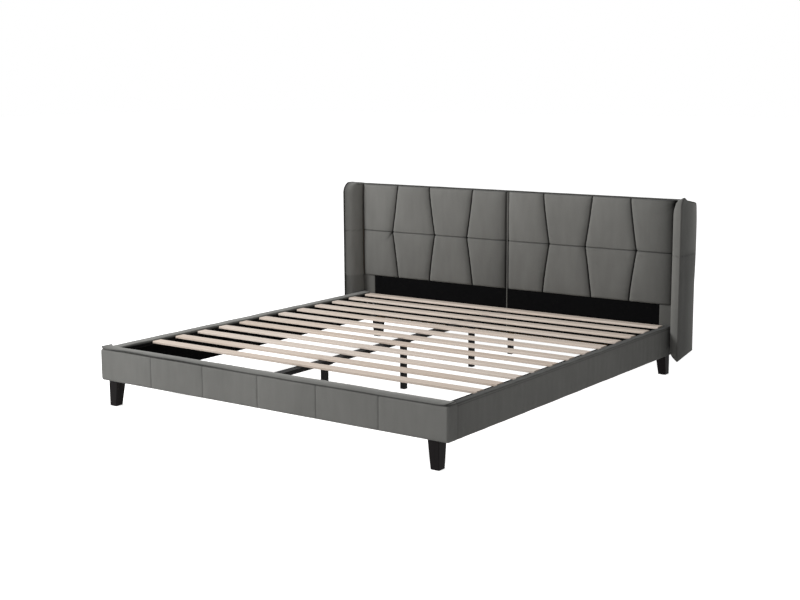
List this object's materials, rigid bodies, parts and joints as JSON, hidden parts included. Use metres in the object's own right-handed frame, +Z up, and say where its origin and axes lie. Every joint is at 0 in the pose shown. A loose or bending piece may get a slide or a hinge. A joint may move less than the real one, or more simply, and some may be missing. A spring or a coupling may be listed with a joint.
{
  "type": "tufted bed",
  "caption": "Upholstered king platform bed with a tufted winged headboard in split halves, padded rails, slat deck, centre beam on legs and tapered corner legs.",
  "frame": {"origin": "on the floor, under the middle of the bed's overall box", "axes": "+Z up, +Y towards the headboard, +X to the right seen from the foot"},
  "size_m": [2.168, 2.184, 0.938],
  "materials": {
    "velvet": "warm grey velvet over foam",
    "black_cloth": "black bonded dust cloth",
    "slat_wood": "pale sanded plywood",
    "board_wood": "raw board and softwood",
    "black_wood": "black lacquered wood",
    "black_steel": "black powder coat",
    "zinc_steel": "zinc plated",
    "glide_plastic": "moulded black plastic"
  },
  "bodies": {
    "root": {"beam_hangers": "black_steel", "beam_screws": "zinc_steel", "bracket_bolts": "zinc_steel", "centre_beam": "black_steel", "centre_leg_front": "black_steel", "centre_leg_middle": "black_steel", "centre_leg_rear": "black_steel", "corner_brackets": "black_steel", "corner_leg_front_left": "black_wood", "corner_leg_front_right": "black_wood", "corner_leg_rear_left": "black_wood", "corner_leg_rear_right": "black_wood", "footboard_cover": "velvet", "footboard_frame": "board_wood", "footboard_lining": "black_cloth", "footboard_top_band": "velvet", "headboard_back_cover_left": "black_cloth", "headboard_back_cover_right": "black_cloth", "headboard_centre_leg": "black_steel", "headboard_frame_left": "board_wood", "headboard_frame_right": "board_wood", "headboard_lower_lining_left": "black_cloth", "headboard_lower_lining_right": "black_cloth", "headboard_pad_left": "velvet", "headboard_pad_right": "velvet", "headboard_post_cover_left": "velvet", "headboard_post_cover_right": "velvet", "headboard_strap_screws": "zinc_steel", "headboard_straps": "black_steel", "headboard_top_band_left": "velvet", "headboard_top_band_right": "velvet", "ledge_screws": "black_steel", "leg_glides": "glide_plastic", "leg_studs": "zinc_steel", "rail_board_left": "board_wood", "rail_board_right": "board_wood", "rail_cover_left": "velvet", "rail_cover_right": "velvet", "rail_lining_left": "black_cloth", "rail_lining_right": "black_cloth", "slat_01": "slat_wood", "slat_02": "slat_wood", "slat_03": "slat_wood", "slat_04": "slat_wood", "slat_05": "slat_wood", "slat_06": "slat_wood", "slat_07": "slat_wood", "slat_08": "slat_wood", "slat_09": "slat_wood", "slat_10": "slat_wood", "slat_11": "slat_wood", "slat_12": "slat_wood", "slat_grip_tapes": "black_cloth", "slat_ledge_left": "black_wood", "slat_ledge_right": "black_wood", "wing_board_left": "board_wood", "wing_board_right": "board_wood", "wing_bolts": "zinc_steel", "wing_cover_left": "velvet", "wing_cover_right": "velvet"}
  },
  "joints": []
}
